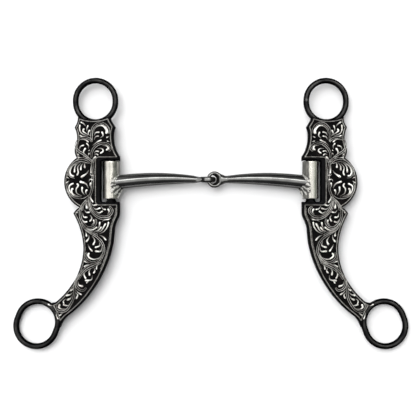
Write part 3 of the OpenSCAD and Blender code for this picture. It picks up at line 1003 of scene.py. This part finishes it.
# ---------------------------------------------------------------- putting it together
plate_steel = blackened_steel("blackened_plate", (0.0046, 0.0046, 0.005), (0.0092, 0.0092, 0.010),
                              0.26, 0.38)
ring_steel = ring_steel_painted_crown("blackened_rings")
seamed_steel = ring_steel_painted_crown("blackened_ring_with_seam", seam=SEAM_AT)
ground = engraved_ground()
silver = scroll_silver()
sleeve_steel = polished_steel("polished_sleeves", 0.60, 0.75, 0.14, 0.26, (1, 0.06, 1), (1.0, 0.975, 0.90))
arm_steel = polished_steel("polished_arms", 0.19, 0.28, 0.08, 0.15, (0.05, 1, 1), (1.0, 1.0, 0.985))
# The eyes' painted shade colour is nearly black.
eye_steel = polished_steel("polished_eyes", 0.26, 0.40, 0.10, 0.20, (1, 1, 1), (1.0, 1.0, 0.985),
                           (0.008, 0.008, 0.008))
eye_steel.node_tree.nodes["Principled BSDF"].inputs["IOR"].default_value = EYE_IOR
weld_steel = polished_steel("polished_welds", 0.36, 0.66, 0.18, 0.34, (1, 1, 1), (1.0, 0.985, 0.94))

CAD_MATERIALS = {
    "cheek_plate": plate_steel, "engraved_overlay": ground, "headstall_ring": ring_steel,
    "rein_ring": ring_steel, "hinge_post": plate_steel, "post_welds": plate_steel,
    "sleeve": sleeve_steel, "cannon": arm_steel, "sleeve_weld": weld_steel, "eye": eye_steel,
}
# Each piece made here: what makes it, its material, its body, its slot, and the CAD part it stands for.
PIECES = [
    (cheek_plate, plate_steel, "_cheek", "blackened_steel", "_cheek_plate"),
    (engraving, silver, "_cheek", "engraved_silver", None),
    (cannon, arm_steel, "_mouth", "mouth_steel", "_cannon"),
    (eye, eye_steel, "_mouth", "mouth_steel", "_eye"),
    (sleeve, sleeve_steel, "_mouth", "polished_sleeve", "_sleeve"),
    (sleeve_weld, weld_steel, "_mouth", "weld_metal", "_sleeve_weld"),
]
for side in SIDES:
    for part, material in CAD_MATERIALS.items():
        for slot in nodes[side + "_" + part].material_slots:
            slot.material = material
    if side == "right":
        nodes["right_headstall_ring"].material_slots[0].material = seamed_steel
    for make, material, body, slot_name, replaced in PIECES:
        piece = make(side)
        piece.data.materials.append(material)
        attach(piece, side + body)
        if replaced:
            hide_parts(side + replaced)

# ---------------------------------------------------------------- floor, light and camera
FLOOR_HALF = 2.0
FLOOR_DROP = 0.0001
FLOOR_CORNERS = [(x * FLOOR_HALF, y * FLOOR_HALF, 0) for x, y in ((-1, -1), (1, -1), (1, 1), (-1, 1))]
floor_mesh = bpy.data.meshes.new("floor")
floor_mesh.from_pydata(FLOOR_CORNERS, [], [(0, 1, 2, 3)])
floor = bpy.data.objects.new("floor", floor_mesh)
floor.location.z = -FLOOR_DROP
bpy.context.scene.collection.objects.link(floor)
floor_material, floor_tree, floor_shader = new_material("pale_floor")
floor_shader.inputs["Roughness"].default_value = 0.9
floor_shader.inputs["Specular IOR Level"].default_value = 0.0
floor_colour = ramp(floor_tree, noise_at(floor_tree, 12, 2),
                    [(0.3, (0.90, 0.90, 0.905)), (0.7, (0.92, 0.92, 0.92))])
floor_tree.links.new(floor_colour, floor_shader.inputs["Base Color"])
floor_mesh.materials.append(floor_material)


def sun(name, towards, strength, width):
    """A far lamp in a direction, with its strength and its width across in degrees."""
    light = bpy.data.lights.new(name, "SUN")
    light.energy = strength
    light.angle = math.radians(width)
    obj = bpy.data.objects.new(name, light)
    obj.rotation_euler = Vector(towards).to_track_quat("Z", "Y").to_euler()
    bpy.context.scene.collection.objects.link(obj)
    return obj


# The key is so wide that its mirror image would flood the steel, so the sky stands in for it there.
sun("key", (-0.46, 0.60, 0.68), 4.0, 80).visible_glossy = False
sun("glint", (-0.42, 0.42, 0.8), 0.3, 14)

world = bpy.data.worlds.new("studio")
bpy.context.scene.world = world
world.use_nodes = True
sky = world.node_tree
background = sky.nodes["Background"]
direction = add(sky, "ShaderNodeTexCoord").outputs["Generated"]
split = add(sky, "ShaderNodeSeparateXYZ")
sky.links.new(direction, split.inputs[0])


def sky_step(socket, low, high):
    """Rises smoothly from 0 to 1 as a direction's part goes from low to high."""
    node = add(sky, "ShaderNodeMapRange", interpolation_type="SMOOTHSTEP")
    node.inputs["From Min"].default_value = low
    node.inputs["From Max"].default_value = high
    sky.links.new(socket, node.inputs["Value"])
    return node.outputs["Result"]


# What the steel mirrors: white overhead and on the left, with one bright strip across; nearly black
# low down and past both ends of the cheeks; grey on the right and at the far left.
OVERHEAD = (1.0, 1.0, 0.98)
STRIP = (4.7, 4.7, 4.62)
SHANK_SIDE = (0.06, 0.06, 0.06)
HEAD_SIDE = (0.12, 0.12, 0.12)
LOW_DOWN = (0.04, 0.04, 0.04)
LEFT_WALL = (1.0, 0.995, 0.98)
FAR_LEFT = (0.42, 0.42, 0.40)
RIGHT_WALL = (0.52, 0.54, 0.50)
FAR_RIGHT = (0.36, 0.38, 0.35)
# What lights the floor and everything that isn't glossy, and what the camera sees past the floor.
AMBIENT = (0.34, 0.34, 0.34)
BACKDROP = (0.77, 0.77, 0.77)
SKY_STRENGTH = 1.3


def sky_band(socket, low, full, fall, end):
    """1 between full and fall, and 0 below low and above end."""
    node = add(sky, "ShaderNodeMath", operation="MULTIPLY")
    sky.links.new(sky_step(socket, low, full), node.inputs[0])
    sky.links.new(sky_step(socket, end, fall), node.inputs[1])
    return node.outputs[0]


across_sky, along_sky, height_sky = split.outputs
overhead = mix(sky, sky_step(along_sky, -0.62, -0.02), SHANK_SIDE, OVERHEAD)
overhead = mix(sky, sky_step(along_sky, 0.44, 0.7), overhead, HEAD_SIDE)
overhead = mix(sky, sky_band(along_sky, 0.25, 0.32, 0.40, 0.47), overhead, STRIP)
overhead = mix(sky, sky_step(height_sky, 0.1, 0.45), LOW_DOWN, overhead)
reflected = mix(sky, sky_step(across_sky, -0.12, -0.4), overhead, LEFT_WALL)
reflected = mix(sky, sky_step(across_sky, -0.95, -0.995), reflected, FAR_LEFT)
reflected = mix(sky, sky_step(across_sky, 0.5, 0.72), reflected, RIGHT_WALL)
reflected = mix(sky, sky_step(across_sky, 0.88, 0.99), reflected, FAR_RIGHT)
path = add(sky, "ShaderNodeLightPath").outputs
lit = mix(sky, path["Is Glossy Ray"], AMBIENT, reflected)
sky.links.new(mix(sky, path["Is Camera Ray"], lit, BACKDROP), background.inputs["Color"])
background.inputs["Strength"].default_value = SKY_STRENGTH

# The camera looks straight down. The frame's width is what it sees at this level above the floor.
FRAME_LEVEL = 0.0045
CAMERA_HEIGHT = 0.55
CAMERA_AT = (-0.00195, 0.0040, CAMERA_HEIGHT + FRAME_LEVEL)
FRAME_WIDTH = 0.2895
SENSOR = 36.0
camera_data = bpy.data.cameras.new("camera")
camera_data.sensor_width = SENSOR
camera_data.lens = SENSOR * CAMERA_HEIGHT / FRAME_WIDTH
camera_data.clip_start = 0.01
camera = bpy.data.objects.new("camera", camera_data)
camera.location = CAMERA_AT
bpy.context.scene.collection.objects.link(camera)
bpy.context.scene.camera = camera
bpy.context.scene.view_settings.view_transform = "Standard"
